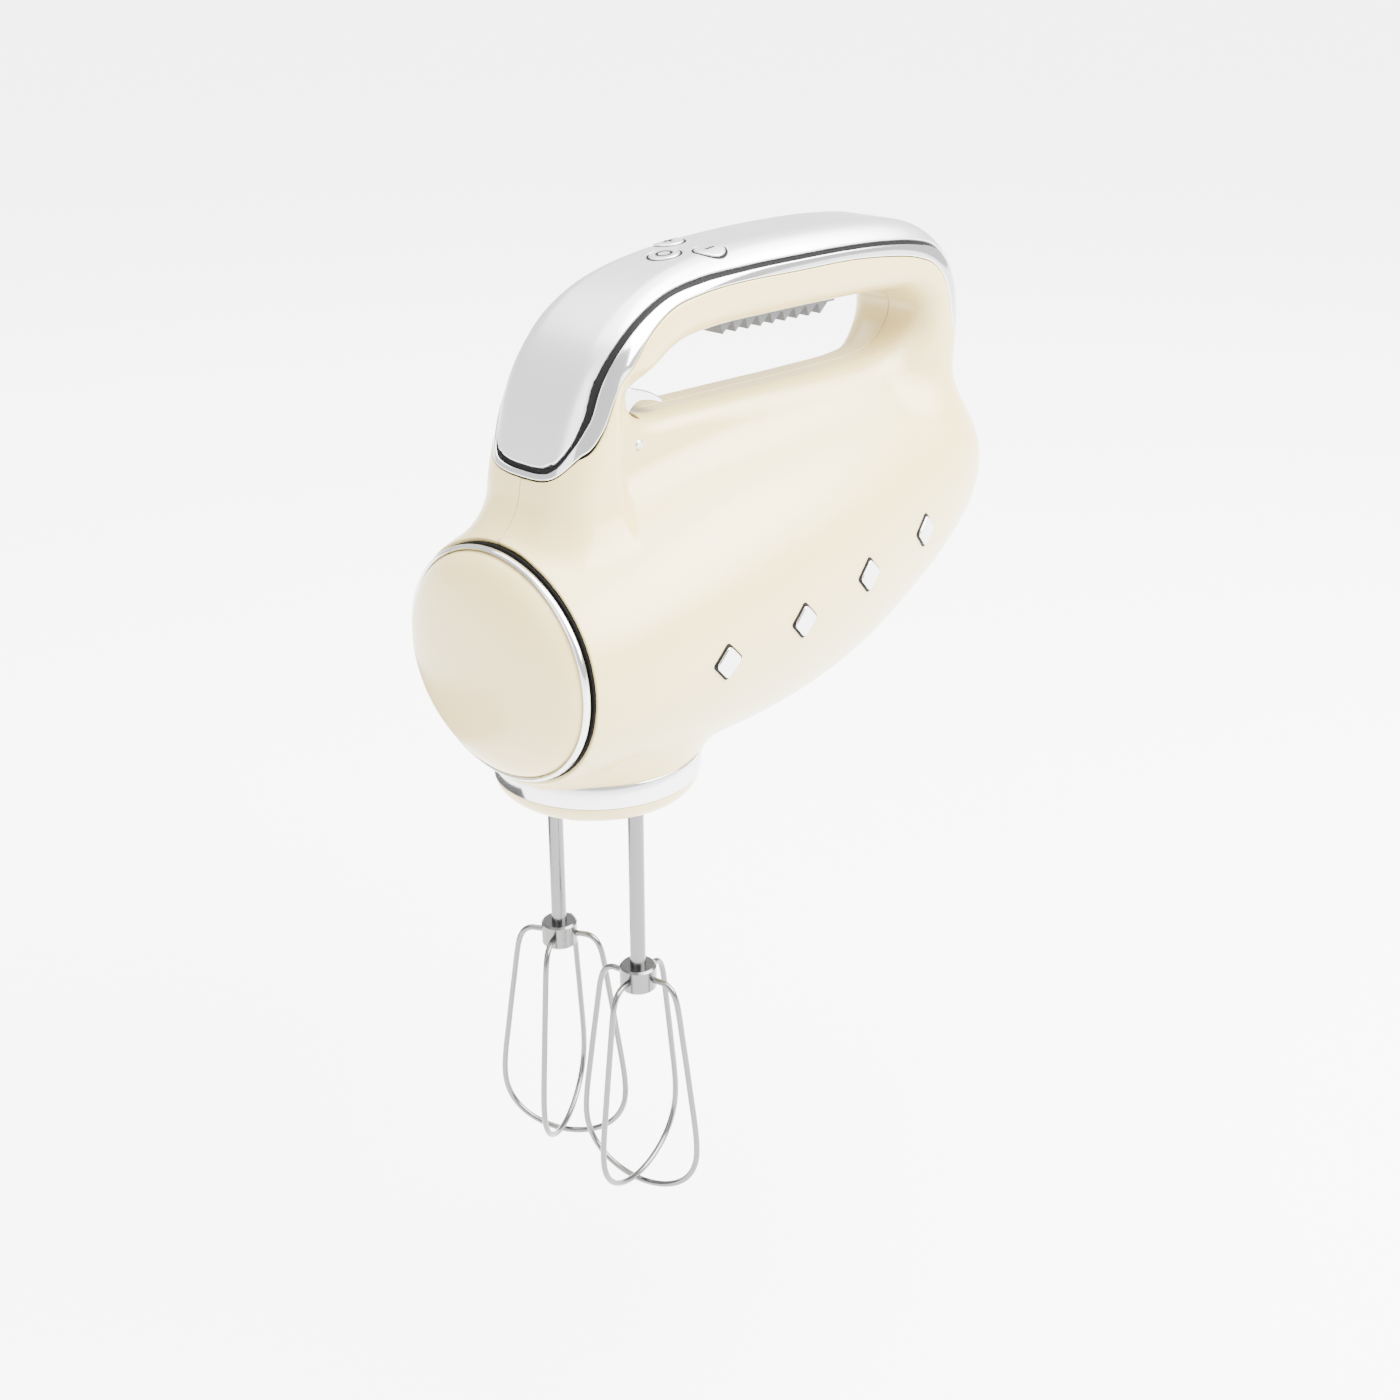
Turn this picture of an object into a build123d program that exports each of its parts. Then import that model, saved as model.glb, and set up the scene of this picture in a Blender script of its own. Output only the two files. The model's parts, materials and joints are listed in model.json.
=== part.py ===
from build123d import *
import math
import os

# Hand mixer with two wire beaters. All sizes in millimetres.
# +X points to the heel, the nose is at -X, +Z is up, and the centre plane is Y = 0.
# The origin lies midway between the two beater axes, on the underside of the collar base.

os.makedirs("parts", exist_ok=True)

# ---- driving dimensions ----
half_spacing = 18.5          # beater axis to centre plane
wall = 2.3                   # housing wall
motor_z = 48.0               # height of the motor axis
worm_pitch_r = 4.0           # worm pitch radius
wheel_teeth = 28
worm_starts = 2
wheel_pitch_r = half_spacing - worm_pitch_r
worm_lead = 2 * math.pi * wheel_pitch_r / wheel_teeth * worm_starts
lead_angle = math.degrees(math.atan2(worm_lead, 2 * math.pi * worm_pitch_r))
shaft_r = 2.4                # beater shaft
spindle_r = 6.5              # outside of the drive spindle
running = 0.05               # radial clearance of every running fit
eject_travel = 6.0           # how far the ejector pushes the beaters
nose_x = -34.2               # plane of the nose ring
nose_z = 48.8                # centre height of the nose ring
nose_ry = 38.5               # half width of the nose ring
nose_rz = 33.8               # half height of the nose ring
nose_dome = 10.0             # how far the nose cap stands out
collar_x = 1.7               # collar centre
collar_r = 31.2              # outside radius of the collar band
collar_top = 6.0             # height of the collar base
collar_seat = 13.4           # height at which the collar band meets the body
heel_x = 163.0               # flat heel of the body
spine_z = 111.5              # top of the narrow spine under the grip
grip_half = 17.5             # half width of the grip
trim_height = 7.6            # height of the bright band along the handle
trim_gap = 1.0               # dark groove above the bright band
button_r = 4.7
button_rise = 0.6            # how far the buttons stand above the grip
button_base = 152.3          # underside of the button caps
stem_base = 149.5            # foot of the stem under each cap
stem_r = 1.8
button_x = 31.0
small_button_x = 40.5
small_button_y = 8.3
board_z = 144.5              # underside of the control board
lever_x = 8.0                # eject lever pivot
lever_z = 105.0
hub_top = -55.0              # beater hub
hub_bottom = -63.0
hub_r = 5.7
wire_r = 0.95                # beater wire
loop_r = 20.9                # largest radius of a beater loop
tip_z = -136.4               # lowest point of the outer loops' centre line
far_angle = -31.0            # how far each cage is turned about its axis
near_angle = -14.0

# body stations: distance back, underside, top, half width
stations = [
    (-32.0, 13.5, 84.0, 39.8),
    (-15.0, 10.5, 89.0, 42.4),
    (5.0, 8.5, 93.5, 43.5),
    (30.0, 7.8, 98.0, 43.0),
    (60.0, 8.8, 101.5, 41.0),
    (90.0, 14.2, 104.0, 37.5),
    (115.0, 23.5, 105.0, 33.0),
    (138.0, 35.8, 103.5, 28.0),
    (153.0, 46.0, 98.0, 22.0),
    (heel_x, 57.0, 86.0, 15.0),
]

# side outline of the handle loop, from the front leg over the grip to the rear leg
handle_line = [
    (-24.4, 78.0), (-24.8, 88.0), (-23.4, 99.0), (-20.2, 109.0), (-15.8, 120.0), (-10.0, 130.0),
    (-2.4, 138.6), (7.0, 145.2), (18.0, 149.8), (33.0, 153.2), (52.0, 155.3), (76.0, 156.3),
    (100.0, 156.1), (117.0, 154.6), (129.5, 151.2), (139.5, 144.8), (146.2, 136.0), (149.3, 126.0),
    (149.9, 115.0), (148.9, 105.0), (148.0, 95.0), (147.5, 85.0),
]

# the finger opening under the grip
opening_line = [
    (14.0, 112.0), (30.0, spine_z), (60.0, spine_z), (90.0, spine_z), (110.0, 112.0), (121.0, 114.5),
    (128.0, 120.0), (129.4, 127.0), (123.5, 132.3), (110.0, 133.8), (90.0, 134.2), (60.0, 134.0),
    (35.0, 133.4), (21.0, 131.2), (12.0, 126.4), (8.6, 119.5), (9.6, 114.2),
]

# lower edge of the bright band, seen from the side
trim_line = [
    (-26.0, 97.5), (-21.0, 98.5), (-14.0, 103.5), (-8.3, 112.0), (-3.7, 122.4), (2.0, 129.4),
    (9.0, 134.9), (18.0, 139.2), (31.0, 142.1), (46.0, 143.6), (66.0, 144.4), (90.0, 144.7),
    (108.0, 143.8), (121.0, 142.3), (130.0, 139.6), (136.0, 134.6), (139.0, 127.5), (141.4, 120.0),
    (146.0, 115.2), (156.0, 113.6),
]

# half width of the handle, seen from above
plan_line = [
    (-30.0, 18.0), (-20.0, 20.4), (-5.0, 21.2), (10.0, 20.2), (25.0, 18.6), (45.0, grip_half),
    (75.0, grip_half), (105.0, grip_half), (130.0, 17.6), (145.0, 17.0), (156.0, 15.0),
]


def moved(points, distance, closed=False):
    """Move each point of a run sideways, to the left of the way it travels."""
    out = []
    count = len(points)
    steps = distance if isinstance(distance, list) else [distance] * count
    for i in range(count):
        if closed:
            a = points[(i - 1) % count]
            b = points[(i + 1) % count]
        else:
            a = points[max(i - 1, 0)]
            b = points[min(i + 1, count - 1)]
        dx = b[0] - a[0]
        dz = b[1] - a[1]
        length = math.hypot(dx, dz)
        out.append((points[i][0] - dz / length * steps[i], points[i][1] + dx / length * steps[i]))
    return out


def section(x, low, high, half, inset):
    """Plane, half width and half height of one body section."""
    plane = Plane(origin=(x, 0, (low + high) / 2), x_dir=(0, 1, 0), z_dir=(1, 0, 0))
    return plane, half - inset, (high - low) / 2 - inset


def save(part, name):
    part.label = name
    export_step(part, "parts/" + name + ".step")


# ---- envelope of the body and of the handle ----
with BuildPart() as body_outer:
    for station in stations:
        plane, half_w, half_h = section(*station, 0.0)
        with BuildSketch(plane):
            Ellipse(half_w, half_h)
    loft()

with BuildPart() as body_inner:
    for station in stations[:-1]:
        plane, half_w, half_h = section(*station, wall)
        with BuildSketch(plane):
            Ellipse(half_w, half_h)
    plane, half_w, half_h = section(heel_x - wall, 56.5, 87.5, 16.2, wall)
    with BuildSketch(plane):
        Ellipse(half_w, half_h)
    loft()

with BuildPart() as badge_shell:
    for station in stations:
        plane, half_w, half_h = section(*station, -1.1)
        with BuildSketch(plane):
            Ellipse(half_w, half_h)
    loft()

side_plane = Plane.XZ

with BuildPart() as handle_outer:
    with BuildSketch(side_plane):
        with BuildLine():
            Spline(*handle_line)
            Line(handle_line[-1], handle_line[0])
        make_face()
        with BuildLine():
            Spline(*opening_line, periodic=True)
        make_face(mode=Mode.SUBTRACT)
    extrude(amount=30, both=True)
    with BuildSketch(Plane.XY.offset(70)):
        with BuildLine():
            Spline(*plan_line)
            Spline(*[(x, -y) for x, y in plan_line])
            Line((plan_line[0][0], -plan_line[0][1]), plan_line[0])
            Line((plan_line[-1][0], -plan_line[-1][1]), plan_line[-1])
        make_face()
    extrude(amount=95, mode=Mode.INTERSECT)
    rim = handle_outer.edges().filter_by(lambda e: e.length > 260 and abs(e.center().Y) > 5)
    fillet(rim.filter_by(lambda e: e.bounding_box().max.Z > 145), radius=10.0)
    rim = handle_outer.edges().filter_by(lambda e: e.length > 230 and e.bounding_box().max.Z < 136)
    fillet(rim.filter_by(lambda e: abs(e.center().Y) > 5), radius=6.5)

handle_inner_line = moved(handle_line, -2.6)
opening_inner_line = moved(opening_line, -2.4, True)
plan_inner_line = moved(plan_line, -2.5)

with BuildPart() as handle_inner:
    with BuildSketch(side_plane):
        with BuildLine():
            Spline(*handle_inner_line)
            Line(handle_inner_line[-1], handle_inner_line[0])
        make_face()
        with BuildLine():
            Spline(*opening_inner_line, periodic=True)
        make_face(mode=Mode.SUBTRACT)
    extrude(amount=30, both=True)
    with BuildSketch(Plane.XY.offset(60)):
        with BuildLine():
            Spline(*plan_inner_line)
            Spline(*[(x, -y) for x, y in plan_inner_line])
            Line((plan_inner_line[0][0], -plan_inner_line[0][1]), plan_inner_line[0])
            Line((plan_inner_line[-1][0], -plan_inner_line[-1][1]), plan_inner_line[-1])
        make_face()
    extrude(amount=105, mode=Mode.INTERSECT)
    rim = handle_inner.edges().filter_by(lambda e: e.length > 250 and abs(e.center().Y) > 5)
    fillet(rim.filter_by(lambda e: e.bounding_box().max.Z > 145), radius=7.5)
    rim = handle_inner.edges().filter_by(lambda e: e.length > 230 and e.bounding_box().max.Z < 140)
    fillet(rim.filter_by(lambda e: abs(e.center().Y) > 5), radius=4.0)



def region(points, top=190.0):
    """Closing corners for everything above a run of points on the centre plane."""
    return [points[-1], (200.0, points[-1][1]), (200.0, top), (-60.0, top), (-60.0, points[0][1]), points[0]]


def cross(x):
    """A plane across the body at x: its sketches are drawn as (y, z)."""
    return Plane(origin=(x, 0, 0), x_dir=(0, 1, 0), z_dir=(1, 0, 0))


def tube(x_from, x_to, outer, inner=0.0, y=0.0, z=motor_z):
    """A round bar or tube along X."""
    with BuildPart() as bar:
        with BuildSketch(cross(x_from)):
            with Locations((y, z)):
                Circle(outer)
                if inner > 0:
                    Circle(inner, mode=Mode.SUBTRACT)
        extrude(amount=x_to - x_from)
    return bar.part


def post(x, y, z_from, z_to, outer, inner=0.0):
    """A round bar or tube along Z."""
    with BuildPart() as bar:
        with BuildSketch(Plane.XY.offset(z_from)):
            with Locations((x, y)):
                Circle(outer)
                if inner > 0:
                    Circle(inner, mode=Mode.SUBTRACT)
        extrude(amount=z_to - z_from)
    return bar.part


def block(x_from, x_to, y_from, y_to, z_from, z_to):
    """A plain block between six limits."""
    with BuildPart() as body:
        with BuildSketch(Plane.XY.offset(z_from)):
            with Locations(((x_from + x_to) / 2, (y_from + y_to) / 2)):
                Rectangle(x_to - x_from, y_to - y_from)
        extrude(amount=z_to - z_from)
    return body.part


def oval(x_from, x_to, half_w, half_h, z, inner_w=0.0, inner_h=0.0):
    """An elliptical disc or band across X."""
    with BuildPart() as disc:
        with BuildSketch(cross(x_from)):
            with Locations((0, z)):
                Ellipse(half_w, half_h)
                if inner_w > 0:
                    Ellipse(inner_w, inner_h, mode=Mode.SUBTRACT)
        extrude(amount=x_to - x_from)
    return disc.part


# the bright band narrows to nothing round the tip of the front leg
band_steps = [1.4, 1.8, 3.0, 5.0, 6.8] + [trim_height] * 10 + [7.4, 6.6, 5.2, 3.6, 2.6]
cover_steps = [step + trim_gap for step in band_steps]
band_top_line = moved(trim_line, band_steps)
cover_line = moved(trim_line, cover_steps)

# ---- bands of the handle, cut by height ----
bands = []
for line in (trim_line, band_top_line, cover_line):
    with BuildPart() as above:
        with BuildSketch(side_plane):
            with BuildLine():
                Spline(*line)
                Polyline(*region(line))
            make_face()
        extrude(amount=40, both=True)
    bands.append(above.part)

# ---- hollow inside, and the screw bosses that stay in it ----
screw_spots = [(-24.4, 77), (44, 88), (122, 62), (64, 17.0), (132, 90), (-4, 121), (142.5, 112)]

with BuildPart() as cavity:
    add(body_inner.part)
    add(handle_inner.part)

with BuildPart() as bosses:
    with BuildSketch(side_plane):
        with Locations(*screw_spots):
            Circle(4.0)
    extrude(amount=50, both=True)
    add(cavity.part, mode=Mode.INTERSECT)

with BuildPart() as pivot_bosses:
    with BuildSketch(side_plane):
        with Locations((lever_x, lever_z)):
            Circle(4.2)
    extrude(amount=50, both=True)
    add(block(-10, 30, -12, 12, 90, 120), mode=Mode.SUBTRACT)
    add(cavity.part, mode=Mode.INTERSECT)

with BuildPart() as screw_holes:
    with BuildSketch(side_plane):
        with Locations(*screw_spots):
            Circle(1.6)
    extrude(amount=12, both=True)
    with BuildSketch(Plane.XZ.offset(-12)):
        with Locations(*screw_spots):
            Circle(3.4)
    extrude(amount=-40)

# ---- housing halves ----
gland_spot = (147.5, 0, 42.6)
gland_dir = (0.56, 0, -0.83)
gland_plane = Plane(origin=gland_spot, x_dir=(0, 1, 0), z_dir=gland_dir)

with BuildPart() as gland_hole:
    with BuildSketch(gland_plane.offset(-12)):
        Circle(5.2)
    extrude(amount=24)

with BuildPart() as housing:
    add(body_outer.part)
    add(handle_outer.part)
    add(post(collar_x, 0, collar_seat, 28, collar_r - 0.3))
    add(cavity.part, mode=Mode.SUBTRACT)
    add(bosses.part)
    add(pivot_bosses.part)
    add(bands[0], mode=Mode.SUBTRACT)
    add(screw_holes.part, mode=Mode.SUBTRACT)
    add(gland_hole.part, mode=Mode.SUBTRACT)
    # openings for the gear case, the eject lever and the grip insert
    add(post(0, half_spacing, 4, 26, 9.3), mode=Mode.SUBTRACT)
    add(post(0, -half_spacing, 4, 26, 9.3), mode=Mode.SUBTRACT)
    add(block(3, 13.5, -8.7, 8.7, 108.5, 123), mode=Mode.SUBTRACT)
    add(block(44.5, 92.5, -9.5, 9.5, 130, 138), mode=Mode.SUBTRACT)
    with BuildSketch(side_plane):
        with Locations((lever_x, lever_z)):
            Circle(1.5)
    extrude(amount=15, both=True, mode=Mode.SUBTRACT)

for name, low, high in (("housing_left", -60, 0), ("housing_right", 0, 60)):
    with BuildPart() as half:
        add(housing.part)
        add(block(-60, 200, low, high, -10, 180), mode=Mode.INTERSECT)
    save(half.part, name)

# ---- housing screws, all alike ----
with BuildPart() as housing_screws:
    with BuildSketch(Plane.XZ.offset(-14)):
        with Locations(*screw_spots):
            Circle(3.2)
            Circle(1.1, mode=Mode.SUBTRACT)
    extrude(amount=2.0)
    with BuildSketch(Plane.XZ.offset(-12)):
        with Locations(*screw_spots):
            Circle(1.6)
    extrude(amount=22)
save(housing_screws.part, "housing_screws")

# ---- handle cover, groove strip and bright band ----
button_spots = [(button_x, 0), (small_button_x, -small_button_y), (small_button_x, small_button_y)]

with BuildPart() as handle_shell:
    add(handle_outer.part)
    add(handle_inner.part, mode=Mode.SUBTRACT)

with BuildPart() as handle_cover:
    add(handle_shell.part)
    add(bands[2], mode=Mode.INTERSECT)
    with BuildSketch(Plane.XY.offset(board_z)):
        with Locations(*button_spots):
            Circle(button_r + 0.35)
    extrude(amount=14, mode=Mode.SUBTRACT)
save(handle_cover.part, "handle_cover")

with BuildPart() as handle_gasket:
    add(handle_shell.part)
    add(bands[1], mode=Mode.INTERSECT)
    add(bands[2], mode=Mode.SUBTRACT)
    with BuildSketch(Plane.XY.offset(board_z)):
        with Locations(*button_spots):
            Circle(button_r + 0.35)
    extrude(amount=14, mode=Mode.SUBTRACT)
save(handle_gasket.part, "handle_gasket")

with BuildPart() as handle_trim:
    add(handle_shell.part)
    add(bands[0], mode=Mode.INTERSECT)
    add(bands[1], mode=Mode.SUBTRACT)
save(handle_trim.part, "handle_trim")

# ---- buttons ----
button_skin = handle_outer.part.moved(Location((0, 0, button_rise)))

for name, (x, y) in zip(("power_button", "minus_button", "plus_button"), button_spots):
    with BuildPart() as button:
        add(post(x, y, button_base, 165, button_r))
        add(button_skin, mode=Mode.INTERSECT)
        add(post(x, y, stem_base, button_base + 0.5, stem_r))
    save(button.part, name)

# ---- soft grip under the handle ----
with BuildPart() as grip_insert:
    add(block(44.5, 92.5, -9.5, 9.5, 133.0, 136.6))
    for i in range(9):
        left = 45.0 + 5.2 * i
        with BuildSketch(side_plane):
            with BuildLine():
                Polyline((left, 133.2), (left + 1.3, 129.5), (left + 5.2, 133.2), (left, 133.2))
            make_face()
        extrude(amount=8.0, both=True)
save(grip_insert.part, "grip_insert")

# ---- nose: domed cap, bright ring and dark seal ----
nose_plane = Plane(origin=(nose_x, 0, nose_z), x_dir=(0, 1, 0), z_dir=(-1, 0, 0))
cap_ry = nose_ry - 1.5
cap_rz = nose_rz - 1.5
dome = []
for thickness, share in ((0.0, 1.0), (2.2, 1.0)):
    with BuildPart() as bulge:
        for step in (0.0, 0.3, 0.55, 0.75, 0.9, 0.985):
            size = math.sqrt(1 - step * step)
            with BuildSketch(nose_plane.offset((nose_dome - thickness) * step)):
                Ellipse((cap_ry - thickness) * size, (cap_rz - thickness) * size)
        loft()
    dome.append(bulge.part)

with BuildPart() as nose_hollow:
    add(dome[1])
    add(oval(nose_x, nose_x + 2.0, cap_ry - 2.2, cap_rz - 2.2, nose_z))

with BuildPart() as nose_cap:
    add(dome[0])
    add(oval(nose_x, nose_x + 1.0, cap_ry, cap_rz, nose_z))
    add(nose_hollow.part, mode=Mode.SUBTRACT)
save(nose_cap.part, "nose_cap")

save(oval(nose_x - 0.8, nose_x + 1.0, nose_ry, nose_rz, nose_z, cap_ry, cap_rz), "nose_ring")
save(oval(nose_x + 1.0, nose_x + 5.4, 37.2, 32.6, 48.8, 33.0, 28.4), "nose_gasket")

# ---- collar under the nose ----
with BuildPart() as collar_ring:
    add(post(collar_x, 0, collar_top, collar_seat, collar_r, 28.0))
    add(body_outer.part, mode=Mode.SUBTRACT)
save(collar_ring.part, "collar_ring")

with BuildPart() as collar_base:
    with BuildSketch(Plane(origin=(collar_x, 0, 0), x_dir=(1, 0, 0), z_dir=(0, -1, 0))):
        with BuildLine():
            Line((0, 0), (23.5, 0))
            ThreePointArc((23.5, 0), (28.6, 1.7), (collar_r - 0.4, collar_top))
            Polyline((collar_r - 0.4, collar_top), (28.0, collar_top), (28.0, 10.0), (26.2, 10.0), (26.2, 4.6))
            Polyline((26.2, 4.6), (23.5, 2.3), (0, 2.3), (0, 0))
        make_face()
    revolve(axis=Axis((collar_x, 0, 0), (0, 0, 1)))
    add(body_outer.part, mode=Mode.SUBTRACT)
    add(post(0, half_spacing, -1, 12, spindle_r + 0.7), mode=Mode.SUBTRACT)
    add(post(0, -half_spacing, -1, 12, spindle_r + 0.7), mode=Mode.SUBTRACT)
save(collar_base.part, "collar_base")

# ---- eject lever: lip, hub and inner arm ----
with BuildPart() as eject_lever:
    with BuildSketch(side_plane):
        with BuildLine():
            Spline((4.7, 106.0), (4.6, 112.0), (5.4, 118.0), (8.6, 120.2), (13.5, 119.2), (19.0, 117.2),
                   (23.0, 114.8))
            Polyline((23.0, 114.8), (22.2, 113.8))
            Spline((22.2, 113.8), (17.5, 115.5), (12.5, 115.8), (9.4, 113.0), (9.0, 109.5), (11.0, 105.5))
            Line((11.0, 105.5), (4.7, 106.0))
        make_face()
        with Locations((lever_x, lever_z)):
            Circle(3.6)
    extrude(amount=8.0, both=True)
    with BuildSketch(side_plane):
        with BuildLine():
            Polyline((8.0, 107.6), (-9.5, 103.2), (-9.5, 99.8), (-7.5, 99.6), (8.0, 102.4), (8.0, 107.6))
        make_face()
    extrude(amount=4.0, both=True)
    with BuildSketch(side_plane):
        with Locations((lever_x, lever_z)):
            Circle(1.5 + running)
    extrude(amount=10, both=True, mode=Mode.SUBTRACT)
save(eject_lever.part, "eject_lever")

with BuildPart() as lever_pin:
    with BuildSketch(side_plane):
        with Locations((lever_x, lever_z)):
            Circle(1.5)
    extrude(amount=15, both=True)
save(lever_pin.part, "lever_pin")


def coil(radius, wire, pitch, height):
    """A helical spring along Z, standing on the origin."""
    with BuildPart() as spring:
        with BuildLine() as path:
            Helix(pitch=pitch, height=height, radius=radius)
        with BuildSketch(Plane(origin=path.line @ 0, z_dir=path.line % 0)):
            Circle(wire)
        sweep(is_frenet=True)
    return spring.part


lever_spring = coil(2.6, 0.35, 0.9, 2.6).moved(Location((lever_x, -8.5, lever_z), (90, 0, 0)))
save(lever_spring, "lever_spring")

# ---- cord inlet ----
with BuildPart() as cord_gland:
    with BuildSketch(gland_plane.offset(-10)):
        Circle(5.2)
        Circle(3.4, mode=Mode.SUBTRACT)
    extrude(amount=14)
    with BuildSketch(gland_plane.offset(-8)):
        Circle(8.0)
        Circle(3.4, mode=Mode.SUBTRACT)
    extrude(amount=2.4)
save(cord_gland.part, "cord_gland")

save(oval(heel_x, heel_x + 1.2, 13.0, 12.4, 71.5), "heel_pad")

# ---- plain side badges: four lozenges on each flank ----
badge_spots = [(13.0, 48.4), (46.0, 51.5), (78.0, 56.8), (111.0, 62.0)]
for name, side in (("badges_left", 1), ("badges_right", -1)):
    with BuildPart() as badges:
        with BuildSketch(Plane.XZ.offset(20 * side)):
            for spot in badge_spots:
                with Locations(spot):
                    with Locations(Location((0, 0, 0), (0, 0, 45))):
                        RectangleRounded(7.6, 7.6, 1.2)
        extrude(amount=30 * side)
        add(badge_shell.part, mode=Mode.INTERSECT)
        add(body_outer.part, mode=Mode.SUBTRACT)
    save(badges.part, name)

# ---- gear case: floor, wall, two bosses and two bearing seats ----
with BuildPart() as gear_case:
    with BuildSketch(Plane.XY.offset(36)):
        SlotCenterToCenter(2 * half_spacing, 37, rotation=90)
    extrude(amount=21)
    with BuildSketch(Plane.XY.offset(39)):
        SlotCenterToCenter(2 * half_spacing, 33, rotation=90)
    extrude(amount=19, mode=Mode.SUBTRACT)
    for side in (-1, 1):
        add(post(0, side * half_spacing, 11.0, 36, 9.0))
        add(tube(side * 16.8, side * 25.0, 9.0))
    for side in (-1, 1):
        add(post(0, side * half_spacing, 2.0, 40, 8.0), mode=Mode.SUBTRACT)
        add(tube(side * 18.5, side * 26.0, 7.0), mode=Mode.SUBTRACT)
        add(tube(side * 16.0, side * 26.0, 5.6), mode=Mode.SUBTRACT)
    # feet that carry the motor frame
    for y in (-20.5, 20.5):
        for z in (41.0, 55.0):
            add(tube(17.6, 42.5, 1.8, 0.0, y, z))
save(gear_case.part, "gear_case")

with BuildPart() as gear_case_cover:
    with BuildSketch(Plane.XY.offset(57)):
        SlotCenterToCenter(2 * half_spacing, 37, rotation=90)
    extrude(amount=3)
    for side in (-1, 1):
        add(post(0, side * half_spacing, 56, 62, 5.0 + running), mode=Mode.SUBTRACT)
    for x in (-15.0, 13.0):
        add(post(x, 0, 60, 84, 2.0))
    add(post(13.0, 0, 60, 61.5, 3.2))
save(gear_case_cover.part, "gear_case_cover")

with BuildPart() as case_screws:
    for x in (-14.0, 14.0):
        for y in (-27.0, 27.0):
            add(post(x * 0.72, y, 60.0, 61.8, 2.6, 1.0))
save(case_screws.part, "case_screws")

with BuildPart() as spindle_bushes:
    for side in (-1, 1):
        add(post(0, side * half_spacing, 12.0, 24.0, 8.0, spindle_r + running))
save(spindle_bushes.part, "spindle_bushes")

# ---- worm, wheels and spindles ----
turns = 4
helix_start = -turns / 2 * worm_lead
with BuildPart() as thread:
    with BuildLine() as path:
        Helix(pitch=worm_lead, height=turns * worm_lead, radius=worm_pitch_r, center=(0, 0, helix_start))
    with BuildSketch(Plane(origin=path.line @ 0, x_dir=(1, 0, 0), z_dir=path.line % 0)):
        with BuildLine():
            Polyline((-1.4, -0.85), (0.85, -0.38), (0.85, 0.38), (-1.4, 0.85), (-1.4, -0.85))
        make_face()
    sweep(is_frenet=True)

worm_place = Plane(origin=(0, 0, motor_z), x_dir=(0, 1, 0), z_dir=(1, 0, 0)).location
with BuildPart() as worm:
    with BuildSketch(cross(-24.5)):
        with Locations((0, motor_z)):
            Circle(2.9)
    extrude(amount=42.0)
    add(thread.part.moved(worm_place))
    add(thread.part.rotate(Axis.Z, 180).moved(worm_place))
    with BuildSketch(cross(8)):
        with Locations((0, motor_z)):
            Circle(1.6)
    extrude(amount=20.0, mode=Mode.SUBTRACT)
save(worm.part, "worm")

half_tooth = 180.0 / wheel_teeth
for name, side in (("worm_wheel_left", -1), ("worm_wheel_right", 1)):
    with BuildPart() as wheel:
        add(post(0, side * half_spacing, motor_z - 3, motor_z + 3, 13.3))
        with Locations((0, side * half_spacing, motor_z)):
            with PolarLocations(14.2, wheel_teeth, start_angle=half_tooth):
                Box(2.4, 1.05, 6.0, rotation=(-lead_angle, 0, 0))
        add(post(0, side * half_spacing, 39.4, motor_z - 3, 8.6))
        add(post(0, side * half_spacing, 38, motor_z + 6, spindle_r), mode=Mode.SUBTRACT)
    save(wheel.part, name)

for name, side in (("spindle_left", -1), ("spindle_right", 1)):
    y = side * half_spacing
    with BuildPart() as spindle:
        add(post(0, y, 0.8, 55.0, spindle_r))
        add(post(0, y, 55.0, 60.3, 5.0))
        add(post(0, y, 0.0, 61.0, shaft_r + running), mode=Mode.SUBTRACT)
        add(post(0, y, 0.0, 2.0, 3.4), mode=Mode.SUBTRACT)
        # slot that takes the drive wings of the beater
        add(block(-4.9, 4.9, y - 0.95, y + 0.95, 0.0, 11.5), mode=Mode.SUBTRACT)
    save(spindle.part, name)

# ---- motor ----
with BuildPart() as motor_shaft:
    add(tube(8.0, 17.5, 1.6))
    add(tube(17.5, 110.0, 3.0))
save(motor_shaft.part, "motor_shaft")

with BuildPart() as shaft_bearings:
    for x in (-24.5, 19.0, 104.6):
        add(tube(x, x + 5.0, 7.0, (2.9 if x < 0 else 3.0) + running))
save(shaft_bearings.part, "shaft_bearings")

with BuildPart() as fan:
    add(tube(32.0, 33.4, 19.4, 3.0))
    add(tube(33.4, 39.0, 5.5, 3.0))
    with Locations(Plane(origin=(36.2, 0, motor_z), x_dir=(0, 1, 0), z_dir=(1, 0, 0))):
        with PolarLocations(12.2, 11):
            Box(13.6, 1.0, 5.6, rotation=(0, 0, 14))
save(fan.part, "fan")

with BuildPart() as armature_core:
    with BuildSketch(cross(51)):
        with Locations((0, motor_z)):
            Circle(14.3)
            Circle(3.0, mode=Mode.SUBTRACT)
            with PolarLocations(12.4, 12):
                Rectangle(4.2, 1.6, mode=Mode.SUBTRACT)
    extrude(amount=32)
save(armature_core.part, "armature_core")

with BuildPart() as armature_winding:
    for x in (46.5, 83.0):
        add(tube(x, x + 4.5, 12.0, 3.0))
    fillet(armature_winding.edges().filter_by(lambda e: abs(e.length - 2 * math.pi * 12.0) < 1), radius=1.4)
save(armature_winding.part, "armature_winding")

with BuildPart() as commutator:
    with BuildSketch(cross(89)):
        with Locations((0, motor_z)):
            Circle(7.6)
            Circle(3.0, mode=Mode.SUBTRACT)
            with PolarLocations(7.3, 24):
                Rectangle(1.2, 0.45, mode=Mode.SUBTRACT)
    extrude(amount=9.5)
save(commutator.part, "commutator")

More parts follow.
